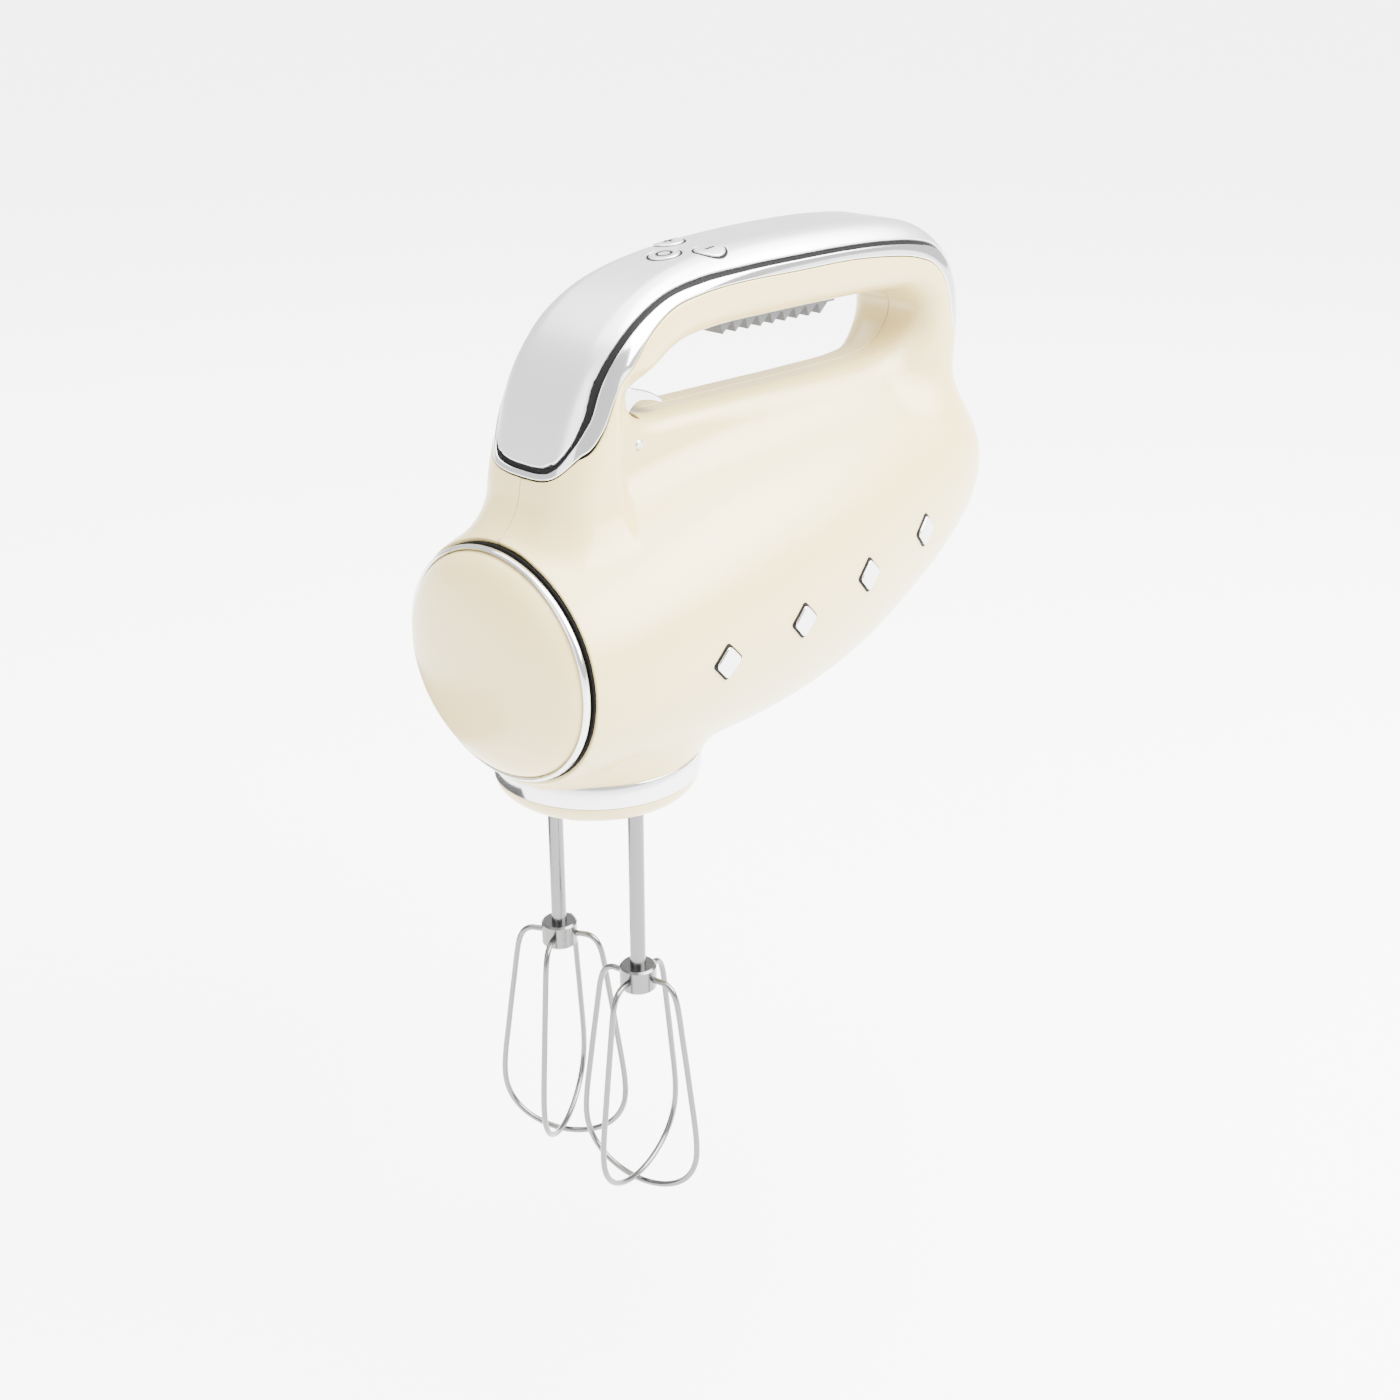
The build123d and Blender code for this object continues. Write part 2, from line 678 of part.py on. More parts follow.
with BuildPart() as stator:
    with BuildSketch(cross(50)):
        with Locations((0, motor_z)):
            Circle(23.85)
            Circle(15.0, mode=Mode.SUBTRACT)
            for side in (-1, 1):
                with Locations((side * 15.5, 0)):
                    Rectangle(6.5, 15.0, mode=Mode.SUBTRACT)
    extrude(amount=34)
save(stator.part, "stator")

with BuildPart() as field_coils:
    for x in (45.2, 84.0):
        with BuildSketch(cross(x)):
            with Locations((0, motor_z)):
                Circle(21.0)
                Circle(15.6, mode=Mode.SUBTRACT)
                Rectangle(60, 9.0, mode=Mode.SUBTRACT)
        extrude(amount=4.8 if x < 60 else 3.6)
    for side in (-1, 1):
        add(block(50, 84, min(side * 15.4, side * 18.6), max(side * 15.4, side * 18.6),
                  motor_z - 7.3, motor_z + 7.3))
save(field_coils.part, "field_coils")

with BuildPart() as motor_frame:
    add(tube(42.5, 88.0, 26.0, 23.9))
    add(tube(42.5, 44.8, 26.0, 20.9))
    add(tube(88.0, 90.0, 26.0, 17.0))
    add(tube(90.0, 104.0, 19.0, 17.0))
    add(tube(102.6, 104.6, 19.0, 4.5))
    add(tube(104.6, 109.6, 9.5, 7.0))
    for side in (-1, 1):
        low = min(side * 12, side * 30)
        high = max(side * 12, side * 30)
        add(block(90.5, 97.5, low, high, motor_z - 3.4, motor_z + 3.4), mode=Mode.SUBTRACT)
        # cooling windows
        for x in (54.0, 72.0):
            add(block(x - 5, x + 5, low, high, motor_z - 9, motor_z + 9), mode=Mode.SUBTRACT)
        # pillars of the power board
        for x in (60.0, 80.0):
            add(post(x, side * 12, 69.5, 80, 2.4))
save(motor_frame.part, "motor_frame")

brush_parts = {"brush_holders": [], "brushes": [], "brush_springs": []}
for side in (-1, 1):
    holder_y = sorted((side * 9.5, side * 25.0))
    carbon_y = sorted((side * 7.95, side * 17.0))
    with BuildPart() as holder:
        add(block(90.5, 97.5, *holder_y, motor_z - 3.4, motor_z + 3.4))
        cut_y = sorted((side * 9.0, side * 24.0))
        add(block(91.6, 96.4, *cut_y, motor_z - 2.4, motor_z + 2.4), mode=Mode.SUBTRACT)
    brush_parts["brush_holders"].append(holder.part)
    brush_parts["brushes"].append(block(91.65, 96.35, *carbon_y, motor_z - 2.35, motor_z + 2.35))
    spring = coil(1.8, 0.25, 1.15, 6.4)
    angle = -90 if side > 0 else 90
    brush_parts["brush_springs"].append(spring.moved(Location((94.0, side * 17.3, motor_z), (angle, 0, 0))))
for name, solids in brush_parts.items():
    with BuildPart() as group:
        for solid in solids:
            add(solid)
    save(group.part, name)

# ---- ejector: plate, push rods and return spring ----
with BuildPart() as ejector_plate:
    with BuildSketch(Plane.XY.offset(70.5)):
        SlotCenterToCenter(2 * half_spacing, 11, rotation=90)
        with Locations((-1.0, 0)):
            Rectangle(35, 12)
        with Locations((-15.0, 0), (13.0, 0)):
            Circle(2.0 + running, mode=Mode.SUBTRACT)
    extrude(amount=3)
    add(block(-11.5, -7.5, -4, 4, 73.5, 99.0))
save(ejector_plate.part, "ejector_plate")

for name, side in (("push_rod_left", -1), ("push_rod_right", 1)):
    with BuildPart() as push_rod:
        add(post(0, side * half_spacing, 46.0, 67.4, shaft_r))
        add(post(0, side * half_spacing, 67.4, 70.0, 4.2))
    save(push_rod.part, name)

save(coil(3.0, 0.4, 1.9, 8.0).moved(Location((13.0, 0, 62.0))), "ejector_spring")

# ---- electronics ----
with BuildPart() as power_board:
    add(block(56, 112, -17, 17, 80.0, 81.6))
save(power_board.part, "power_board")

with BuildPart() as board_parts:
    add(post(66, 0, 81.6, 92.0, 5.0))
    add(block(76, 88, -9, 3, 81.6, 90.0))
    add(block(94, 106, 2, 12, 81.6, 87.0))
    add(block(92, 108, -12, -4, 81.6, 86.0))
save(board_parts.part, "board_parts")

with BuildPart() as control_board:
    add(block(24, 60, -11.5, 11.5, board_z, board_z + 1.6))
    add(block(46, 56, -4, 4, board_z - 3.0, board_z))
save(control_board.part, "control_board")

with BuildPart() as button_switches:
    for x, y in button_spots:
        add(block(x - 3, x + 3, y - 3, y + 3, board_z + 1.6, board_z + 3.2))
        add(post(x, y, board_z + 3.2, board_z + 3.9, 1.6))
save(button_switches.part, "button_switches")

# ---- beaters ----
hub_mid = (hub_top + hub_bottom) / 2
loop_half = [(8.6, hub_mid), (11.6, -60.2), (13.6, -63.6), (14.6, -68.0), (15.8, -76.0), (17.3, -86.0),
             (19.3, -100.0), (loop_r, -113.0), (20.4, -122.0), (16.6, -129.4), (9.6, -134.4)]
for word, side, turn in (("left", -1, near_angle), ("right", 1, far_angle)):
    y = side * half_spacing
    with BuildPart() as shaft:
        add(post(0, y, hub_bottom + 1.0, 46.0, shaft_r))
        add(block(-4.5, 4.5, y - 0.8, y + 0.8, 5.0, 11.0))
    save(shaft.part, "beater_" + word + "_shaft")
    holes = []
    for which, extra, lift in (("outer", 0.0, 0.0), ("inner", 90.0, 3.6)):
        angle = math.radians(turn + extra)
        dx = math.sin(angle)
        dy = math.cos(angle)
        # the inner loop stays a little higher so that it clears the outer one under the axis
        run = [(r, z + lift * max(0.0, (hub_mid - 10 - z) / (hub_mid - 10 - tip_z))) for r, z in loop_half]
        run.append((0.0, tip_z + lift))
        points = [(r * dx, y + r * dy, z) for r, z in run]
        back_points = [(-r * dx, y - r * dy, z) for r, z in run]
        inner_end = (4.7 * dx, y + 4.7 * dy, hub_mid)
        outer_end = (-4.7 * dx, y - 4.7 * dy, hub_mid)
        with BuildPart() as loop:
            with BuildLine() as path:
                Line(inner_end, points[0])
                Spline(*points, tangents=((dx, dy, 0), (-dx, -dy, 0)), tangent_scalars=(1.0, 1.0))
                Spline(*back_points, tangents=((-dx, -dy, 0), (dx, dy, 0)), tangent_scalars=(1.0, 1.0))
                Line(outer_end, back_points[0])
            with BuildSketch(Plane(origin=inner_end, z_dir=(dx, dy, 0))):
                Circle(wire_r)
            sweep()
        save(loop.part, "beater_" + word + "_" + which + "_loop")
        holes.append(Plane(origin=(0, y, hub_mid), z_dir=(dx, dy, 0)))
    with BuildPart() as hub:
        add(post(0, y, hub_bottom, hub_top, hub_r, shaft_r))
        add(post(0, y, hub_bottom, hub_bottom + 1.0, hub_r))
        chamfer(hub.faces().sort_by(Axis.Z)[-1].outer_wire().edges(), length=0.6)
        chamfer(hub.faces().sort_by(Axis.Z)[0].outer_wire().edges(), length=0.6)
        # two blind cross holes at each wire's height take the wire ends
        for hole in holes:
            for start in (4.7, -4.7):
                with BuildSketch(hole.offset(start)):
                    Circle(wire_r)
                extrude(amount=math.copysign(3.0, start), mode=Mode.SUBTRACT)
    save(hub.part, "beater_" + word + "_hub")
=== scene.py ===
import json
import math

import bmesh
import bpy
import numpy as np
from mathutils import Matrix, Vector


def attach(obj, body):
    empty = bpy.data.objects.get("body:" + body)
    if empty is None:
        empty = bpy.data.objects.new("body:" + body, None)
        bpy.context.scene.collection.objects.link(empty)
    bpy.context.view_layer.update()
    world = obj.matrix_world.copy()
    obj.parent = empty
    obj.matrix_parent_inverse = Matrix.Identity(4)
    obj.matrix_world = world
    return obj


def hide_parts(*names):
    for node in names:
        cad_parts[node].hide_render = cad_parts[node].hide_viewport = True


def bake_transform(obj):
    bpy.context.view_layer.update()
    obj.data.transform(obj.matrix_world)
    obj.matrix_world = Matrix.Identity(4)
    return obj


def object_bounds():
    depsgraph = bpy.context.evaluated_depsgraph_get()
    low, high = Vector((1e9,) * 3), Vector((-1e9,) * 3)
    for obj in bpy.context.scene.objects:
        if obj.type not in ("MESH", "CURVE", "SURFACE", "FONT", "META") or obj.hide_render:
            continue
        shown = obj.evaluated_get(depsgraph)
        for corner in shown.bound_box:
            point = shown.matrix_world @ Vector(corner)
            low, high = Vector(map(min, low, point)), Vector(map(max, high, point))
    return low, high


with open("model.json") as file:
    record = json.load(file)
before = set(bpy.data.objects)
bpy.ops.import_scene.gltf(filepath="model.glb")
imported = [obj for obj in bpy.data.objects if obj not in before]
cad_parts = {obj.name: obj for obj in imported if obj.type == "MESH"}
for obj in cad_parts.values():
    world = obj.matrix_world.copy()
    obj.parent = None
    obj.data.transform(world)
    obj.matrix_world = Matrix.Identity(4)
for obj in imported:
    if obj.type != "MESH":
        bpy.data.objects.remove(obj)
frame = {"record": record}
cad_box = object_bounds()

# Hand mixer. Sizes below are in millimetres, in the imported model's frame.
MM = 0.001

# ---- driving dimensions, as in the CAD ----
nose_x = -34.2
nose_z = 48.8
nose_ry = 38.5
nose_rz = 33.8
nose_dome = 9.8
collar_x = 1.7
collar_r = 31.2
collar_top = 6.0
collar_seat = 13.4
heel_x = 163.0
spine_z = 111.5
grip_half = 17.5
spine_half = 12.0
pin_x = 9.5
pin_z = 105.0
pin_r = 1.5
pin_edge = 0.4
spring_x = 13.0
floor_room = 75.0          # the beaters are pulled out downwards, above the floor
button_r = 4.7
button_x = 31.0
small_button_x = 40.5
small_button_y = 8.3
hole_gap = 0.3
cap_inset = 0.7
cap_rise = 0.35
mark_rise = 0.38
nose_edge_x = -32.2         # front edge of the housing, behind the nose ring
ring_thick = 0.9
ring_wide = 1.3
seam_gap = 0.06
trim_edge_gap = 0.12
slot_half = 8.6             # slot for the eject lever
slot_x = (-2.0, 12.9)
slot_z = (108.0, 119.4)
pocket_half = 9.6           # pocket for the soft grip
pocket_x = (44.4, 92.6)
pocket_z = (126.0, 141.0)
lozenge_spots = [(13.0, 48.4), (46.0, 51.5), (78.0, 56.8), (111.0, 62.0)]
lozenge_half = 3.25
lozenge_shade_half = 4.15
lozenge_rise = 1.05
lever_half = 8.0

stations = np.array([
    (-46.0, 18.5, 77.0, 36.0), (-32.0, 13.5, 84.0, 39.8), (-15.0, 10.5, 89.0, 42.4), (5.0, 8.5, 93.5, 43.5),
    (30.0, 7.8, 98.0, 43.0), (60.0, 8.8, 101.5, 41.0), (90.0, 14.2, 104.0, 37.5), (115.0, 23.5, 105.0, 33.0),
    (138.0, 35.8, 103.5, 28.0), (153.0, 46.0, 98.0, 22.0), (163.0, 57.0, 86.0, 15.0)])

handle_line = [
    (-24.4, 78.0), (-24.8, 88.0), (-23.4, 99.0), (-20.2, 109.0), (-15.8, 120.0), (-10.0, 130.0),
    (-2.4, 138.6), (7.0, 145.2), (18.0, 149.8), (33.0, 153.2), (52.0, 155.3), (76.0, 156.3),
    (100.0, 156.1), (117.0, 154.6), (129.5, 151.2), (139.5, 144.8), (146.2, 136.0), (149.3, 126.0),
    (149.9, 115.0), (148.9, 105.0), (148.0, 95.0), (147.5, 85.0)]

opening_line = [
    (14.0, 112.0), (30.0, spine_z), (60.0, spine_z), (90.0, spine_z), (110.0, 112.0), (121.0, 114.5),
    (128.0, 120.0), (129.4, 127.0), (123.5, 132.3), (110.0, 133.8), (90.0, 134.2), (60.0, 134.0),
    (35.0, 133.4), (21.0, 131.2), (12.0, 126.4), (8.6, 119.5), (9.6, 114.2)]

trim_line = [
    (-26.0, 97.5), (-21.0, 98.5), (-14.0, 103.5), (-8.3, 112.0), (-3.7, 122.4), (2.0, 129.4),
    (9.0, 134.9), (18.0, 139.2), (31.0, 142.1), (46.0, 143.6), (66.0, 144.4), (90.0, 144.7),
    (108.0, 143.8), (121.0, 142.3), (130.0, 139.6), (136.0, 134.6), (139.0, 127.5), (141.4, 120.0),
    (146.0, 115.2), (156.0, 113.6)]
# at each of its points, the distance to the band's lower edge and to the panel's edge, and the groove's width
edge_steps = [2.2, 2.2, 2.8, 3.2, 2.4, 1.8, 3.0, 3.6, 2.9, 2.2, 1.5, 1.4, 1.2, 0.9, 0.5] + [0.0] * 5
cover_steps = [
    4.3, 4.5, 6.2, 7.4, 7.8, 7.8, 7.7, 7.5, 7.0, 6.3, 6.0, 5.8, 6.0, 6.1, 6.4, 6.6, 6.4, 5.6, 4.6, 3.6]
groove_steps = [0.5] * 3 + [0.8] + [1.0] * 4 + [1.3] * 6 + [0.9] * 6

plan_line = np.array([
    (-60.0, 16.0), (-30.0, 18.0), (-20.0, 20.4), (-5.0, 21.2), (10.0, 20.2), (25.0, 18.6), (45.0, grip_half),
    (75.0, grip_half), (105.0, grip_half), (130.0, 17.6), (145.0, 17.0), (156.0, 15.0), (170.0, 14.0)])


# ---- curves ----
def smooth_run(points, closed=False, per_span=10):
    """A smooth curve through a run of points, as a dense polyline."""
    p = np.array(points, float)
    n = len(p)
    if closed:
        p = np.vstack([p[-1:], p, p[:2]])
    else:
        p = np.vstack([2 * p[0] - p[1], p, 2 * p[-1] - p[-2]])
    knots = np.concatenate([[0], np.cumsum(np.linalg.norm(np.diff(p, axis=0), axis=1) ** 0.5)])
    out = []
    for i in range(1, n + 1 if closed else n):
        t = np.linspace(knots[i], knots[i + 1], per_span, endpoint=False)[:, None]
        k0, k1, k2, k3 = knots[i - 1:i + 3]
        a = (k1 - t) / (k1 - k0) * p[i - 1] + (t - k0) / (k1 - k0) * p[i]
        b = (k2 - t) / (k2 - k1) * p[i] + (t - k1) / (k2 - k1) * p[i + 1]
        c = (k3 - t) / (k3 - k2) * p[i + 1] + (t - k2) / (k3 - k2) * p[i + 2]
        d = (k2 - t) / (k2 - k0) * a + (t - k0) / (k2 - k0) * b
        e = (k3 - t) / (k3 - k1) * b + (t - k1) / (k3 - k1) * c
        out.append((k2 - t) / (k2 - k1) * d + (t - k1) / (k2 - k1) * e)
    if not closed:
        out.append(p[-2:-1])
    return np.vstack(out)


def interpolate(xs, ys, x):
    """A smooth function through given values."""
    slope = np.gradient(ys, xs)
    i = np.clip(np.searchsorted(xs, x) - 1, 0, len(xs) - 2)
    h = xs[i + 1] - xs[i]
    t = np.clip((x - xs[i]) / h, 0, 1)
    return ((1 + 2 * t) * (1 - t) ** 2 * ys[i] + t * (1 - t) ** 2 * h * slope[i]
            + t * t * (3 - 2 * t) * ys[i + 1] + t * t * (t - 1) * h * slope[i + 1])


def moved(points, steps):
    """Move each point of a run to the left of the way it travels."""
    out = []
    for i, point in enumerate(points):
        a = points[max(i - 1, 0)]
        b = points[min(i + 1, len(points) - 1)]
        dx, dz = b[0] - a[0], b[1] - a[1]
        length = math.hypot(dx, dz)
        out.append((point[0] - dz / length * steps[i], point[1] + dx / length * steps[i]))
    return out


# ---- distance maps on the centre plane ----
MAP_STEP = 0.8
map_x = np.arange(-70.0, 190.0, MAP_STEP)
map_z = np.arange(60.0, 180.0, MAP_STEP)


def distance_map(polygon):
    """Signed distance to a closed outline, negative inside."""
    gx, gz = np.meshgrid(map_x, map_z, indexing="ij")
    q = np.stack([gx.ravel(), gz.ravel()], 1)
    best = np.full(len(q), 1e9)
    inside = np.zeros(len(q), bool)
    for a, b in zip(polygon, np.roll(polygon, -1, axis=0)):
        ab = b - a
        t = np.clip(((q - a) @ ab) / max(ab @ ab, 1e-12), 0, 1)
        best = np.minimum(best, ((q - a - t[:, None] * ab) ** 2).sum(1))
        if a[1] != b[1]:
            cross = (a[1] > q[:, 1]) != (b[1] > q[:, 1])
            inside ^= cross & (q[:, 0] < (q[:, 1] - a[1]) / (b[1] - a[1]) * ab[0] + a[0])
    return (np.sqrt(best) * np.where(inside, -1, 1)).reshape(gx.shape)


def look_up(grid, x, z):
    """Bicubic value of a distance map."""
    u = np.clip((x - map_x[0]) / MAP_STEP, 1.001, len(map_x) - 2.001)
    v = np.clip((z - map_z[0]) / MAP_STEP, 1.001, len(map_z) - 2.001)
    iu, iv = u.astype(int), v.astype(int)
    fu, fv = u - iu, v - iv

    def weights(f):
        return (0.5 * (-f + 2 * f * f - f ** 3), 0.5 * (2 - 5 * f * f + 3 * f ** 3),
                0.5 * (f + 4 * f * f - 3 * f ** 3), 0.5 * (f ** 3 - f * f))
    wu, wv = weights(fu), weights(fv)
    total = 0
    for i in range(4):
        row = 0
        for j in range(4):
            row = row + grid[iu + i - 1, iv + j - 1] * wv[j]
        total = total + row * wu[i]
    return total


def above(line):
    """Map that is negative above a run of points."""
    run = smooth_run(line)
    corners = [(220.0, run[-1][1]), (220.0, 240.0), (-90.0, 240.0), (-90.0, run[0][1])]
    return distance_map(np.vstack([run, corners]))


outer_map = distance_map(smooth_run(handle_line))
opening_map = distance_map(smooth_run(opening_line, closed=True))
trim_map = above(moved(trim_line, edge_steps))
band_top_map = above(moved(trim_line, [step - width for step, width in zip(cover_steps, groove_steps)]))
cover_map = above(moved(trim_line, cover_steps))


# ---- the skin, as a field that is negative inside ----
def round_max(a, b, r):
    """Intersection with a rounded edge."""
    u, v = a + r, b + r
    return np.minimum(np.maximum(u, v), 0) + np.hypot(np.maximum(u, 0), np.maximum(v, 0)) - r


def round_min(a, b, r):
    """Union with a fillet."""
    return np.maximum(r, np.minimum(a, b)) - np.hypot(np.maximum(r - a, 0), np.maximum(r - b, 0))


def slab(a, low, high):
    return np.maximum(low - a, a - high)


def body_field(p):
    x, y, z = p.T
    low = interpolate(stations[:, 0], stations[:, 1], x)
    high = interpolate(stations[:, 0], stations[:, 2], x)
    half = interpolate(stations[:, 0], stations[:, 3], x)
    mid, tall = (low + high) / 2, (high - low) / 2
    rho = np.sqrt((y / half) ** 2 + ((z - mid) / tall) ** 2) + 1e-9
    steep = np.sqrt((y / half ** 2) ** 2 + ((z - mid) / tall ** 2) ** 2) / rho + 1e-9
    return round_max((rho - 1) / np.maximum(steep, 0.8 / tall), x - heel_x, 4.0)


def ease(t):
    t = np.clip(t, 0, 1)
    return t * t * (3 - 2 * t)


def handle_field(p):
    """The handle loop: wide over the grip and legs, narrow along the spine under the fingers."""
    x, y, z = p.T
    spine = ease((x + 7.0) / 11.0) * ease((138.0 - x) / 24.0) * ease((130.0 - z) / 11.0)
    half = interpolate(plan_line[:, 0], plan_line[:, 1], x)
    side = np.abs(y) - (half + (spine_half - half) * spine)
    outer = round_max(look_up(outer_map, x, z), side, 10.0)
    inner = round_max(-look_up(opening_map, x, z), side, 7.0)
    return np.maximum(outer, inner)


def skin(p):
    """The outside of the whole moulding."""
    neck = np.maximum(np.hypot(p[:, 0] - collar_x, p[:, 1]) - (collar_r - 0.3),
                      slab(p[:, 2], collar_seat - 1.0, 34.0))
    body = round_min(body_field(p), neck, 5.0)
    return round_min(body, handle_field(p), 9.0)


def gradient(field, p, step=0.05):
    out = np.empty_like(p)
    for k in range(3):
        q = p.copy()
        q[:, k] += step
        high = field(q)
        q[:, k] -= 2 * step
        out[:, k] = (high - field(q)) / (2 * step)
    return out


def normals_of(field, p):
    g = gradient(field, p)
    return g / np.maximum(np.linalg.norm(g, axis=1), 1e-9)[:, None]


def surface_net(field, low, high, pitch):
    """Triangles of a field's zero surface, from one point in each cell that it crosses."""
    axes = [np.arange(a, b + pitch, pitch) for a, b in zip(low, high)]
    gx, gy, gz = np.meshgrid(*axes, indexing="ij")
    value = field(np.stack([gx.ravel(), gy.ravel(), gz.ravel()], 1)).reshape(gx.shape)
    inside = value < 0
    shape = tuple(n - 1 for n in value.shape)
    total = np.zeros(shape + (3,))
    count = np.zeros(shape)
    for axis in range(3):
        for i in (0, 1):
            for j in (0, 1):
                start = [0, 0, 0]
                start[(axis + 1) % 3], start[(axis + 2) % 3] = i, j
                a = tuple(slice(s, s + n) for s, n in zip(start, shape))
                start[axis] += 1
                b = tuple(slice(s, s + n) for s, n in zip(start, shape))
                hit = inside[a] != inside[b]
                t = np.where(hit, value[a] / np.where(hit, value[a] - value[b], 1), 0)
                spot = np.zeros(shape + (3,))
                spot[..., axis] = t
                spot[..., (axis + 1) % 3] = i
                spot[..., (axis + 2) % 3] = j
                total += spot * hit[..., None]
                count += hit
    live = count > 0
    index = -np.ones(shape, int)
    index[live] = np.arange(live.sum())
    cell = np.stack(np.nonzero(live), 1)
    points = np.array(low) + (cell + total[live] / count[live][:, None]) * pitch
    quads = []
    for axis in range(3):
        one, two = (axis + 1) % 3, (axis + 2) % 3
        a = [slice(1, n) for n in shape]
        a[axis] = slice(0, shape[axis])
        b = list(a)
        b[axis] = slice(1, shape[axis] + 1)
        hit = inside[tuple(a)] != inside[tuple(b)]
        base = np.stack(np.nonzero(hit), 1)
        base[:, one] += 1
        base[:, two] += 1
        outward = inside[tuple(base.T)]
        corner = []
        for i, j in ((0, 0), (1, 0), (1, 1), (0, 1)):
            c = base.copy()
            c[:, one] -= i
            c[:, two] -= j
            corner.append(index[tuple(c.T)])
        quad = np.stack(corner, 1)
        quad[~outward] = quad[~outward][:, ::-1]
        quads.append(quad)
    quad = np.vstack(quads)
    return points, np.vstack([quad[:, [0, 1, 2]], quad[:, [0, 2, 3]]])


def settle(field, p, cut=None, rounds=4):
    """Bring points on to the zero surface of a field, and of a cut with it."""
    for _ in range(rounds):
        g = gradient(field, p)
        p = p - (field(p) / np.maximum((g * g).sum(1), 1e-6))[:, None] * g
        if cut is not None:
            n = normals_of(field, p)
            c = gradient(cut, p)
            c = c - (c * n).sum(1)[:, None] * n
            step = np.clip(cut(p) / np.maximum((c * c).sum(1), 1e-3), -0.7, 0.7)
            p = p - step[:, None] * c
    return p


def tidy(points, tris):
    tris = tris[(tris[:, 0] != tris[:, 1]) & (tris[:, 1] != tris[:, 2]) & (tris[:, 0] != tris[:, 2])]
    used, back = np.unique(tris, return_inverse=True)
    return points[used], back.reshape(tris.shape)


def clip(field, points, tris, cut, pitch):
    """Keep the part of a surface where the cut is positive, with a smooth edge."""
    value = cut(points)
    near = np.abs(value) < 0.3 * pitch
    if near.any():
        points = points.copy()
        points[near] = settle(field, points[near], cut, 2)
        value[near] = 0.0
    sign = value[tris] > 0
    zero = value[tris] == 0
    whole = (sign | zero).all(1) & sign.any(1)
    mixed = sign.any(1) & ~(sign | zero).all(1)
    part = tris[mixed]
    kept = value[part] > 0
    odd_in = kept.sum(1) == 1
    odd = np.where(odd_in, kept.argmax(1), (~kept).argmax(1))
    rows = np.arange(len(part))
    a, b, c = part[rows, odd], part[rows, (odd + 1) % 3], part[rows, (odd + 2) % 3]
    pairs = np.sort(np.vstack([np.stack([a, b], 1), np.stack([a, c], 1)]), axis=1)
    edges, back = np.unique(pairs, axis=0, return_inverse=True)
    back = back.ravel()
    va, vb = value[edges[:, 0]], value[edges[:, 1]]
    t = va / np.where(va == vb, 1, va - vb)
    fresh = points[edges[:, 0]] * (1 - t)[:, None] + points[edges[:, 1]] * t[:, None]
    fresh = settle(field, fresh, cut, 2) if len(fresh) else fresh
    added = len(points) + np.arange(len(edges))
    number = np.where(va == 0, edges[:, 0], np.where(vb == 0, edges[:, 1], added))
    ab, ac = number[back[:len(part)]], number[back[len(part):]]
    small = np.stack([a, ab, ac], 1)[odd_in]
    one = np.stack([ab, b, c], 1)[~odd_in]
    two = np.stack([ab, c, ac], 1)[~odd_in]
    return tidy(np.vstack([points, fresh]), np.vstack([tris[whole], small, one, two]))


def with_lip(points, normals, tris, radius, depth):
    """Turn the open edge of a surface over a rounded lip and down into the gap."""
    sides = np.vstack([tris[:, [0, 1]], tris[:, [1, 2]], tris[:, [2, 0]]])
    key = np.sort(sides, axis=1)
    _, first, count = np.unique(key, axis=0, return_index=True, return_counts=True)
    edge = sides[first[count == 1]]
    out = np.zeros_like(points)
    run = points[edge[:, 1]] - points[edge[:, 0]]
    run = run / np.maximum(np.linalg.norm(run, axis=1), 1e-9)[:, None]
    for end in (0, 1):
        np.add.at(out, edge[:, end], np.cross(run, normals[edge[:, end]]))
    rim = np.unique(edge)
    place = -np.ones(len(points), int)
    place[rim] = np.arange(len(rim))
    n = normals[rim]
    o = out[rim] - (out[rim] * n).sum(1)[:, None] * n
    o /= np.maximum(np.linalg.norm(o, axis=1), 1e-9)[:, None]
    all_points, all_normals, faces = [points], [normals], [tris]
    last = rim
    base = len(points)
    for turn, drop in ((30, 0), (60, 0), (90, 0), (90, depth)):
        t = math.radians(turn)
        row = points[rim] + radius * math.sin(t) * o - (radius * (1 - math.cos(t)) + drop) * n
        all_points.append(row)
        all_normals.append(math.cos(t) * n + math.sin(t) * o)
        here = base + np.arange(len(rim))
        before = last[place[edge]]
        after = here[place[edge]]
        faces.append(np.stack([before[:, 0], after[:, 0], after[:, 1]], 1))
        faces.append(np.stack([before[:, 0], after[:, 1], before[:, 1]], 1))
        last = here
        base += len(rim)
    return np.vstack(all_points), np.vstack(all_normals), np.vstack(faces)


# ---- pieces ----
def new_piece(name, points, faces, normals=None):
    mesh = bpy.data.meshes.new(name)
    mesh.from_pydata((np.asarray(points) * MM).tolist(), [], [tuple(int(i) for i in f) for f in faces])
    mesh.validate()
    mesh.polygons.foreach_set("use_smooth", [True] * len(mesh.polygons))
    if normals is not None and len(mesh.vertices) == len(normals):
        unit = normals / np.maximum(np.linalg.norm(normals, axis=1), 1e-9)[:, None]
        mesh.normals_split_custom_set_from_vertices(unit.tolist())
    piece = bpy.data.objects.new(name, mesh)
    bpy.context.scene.collection.objects.link(piece)
    return piece


def finish_piece(piece, slot, body, *nodes):
    piece.data.materials.clear()
    piece.data.materials.append(finishes[slot])
    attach(piece, body)
    if nodes:
        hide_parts(*nodes)
    return piece


def ring_faces(rows, around):
    """Quads between closed rings of points, one ring after another."""
    quads = []
    for row in range(rows - 1):
        low, high = row * around, (row + 1) * around
        for i in range(around):
            j = (i + 1) % around
            quads.append((low + i, low + j, high + j, high + i))
    return quads


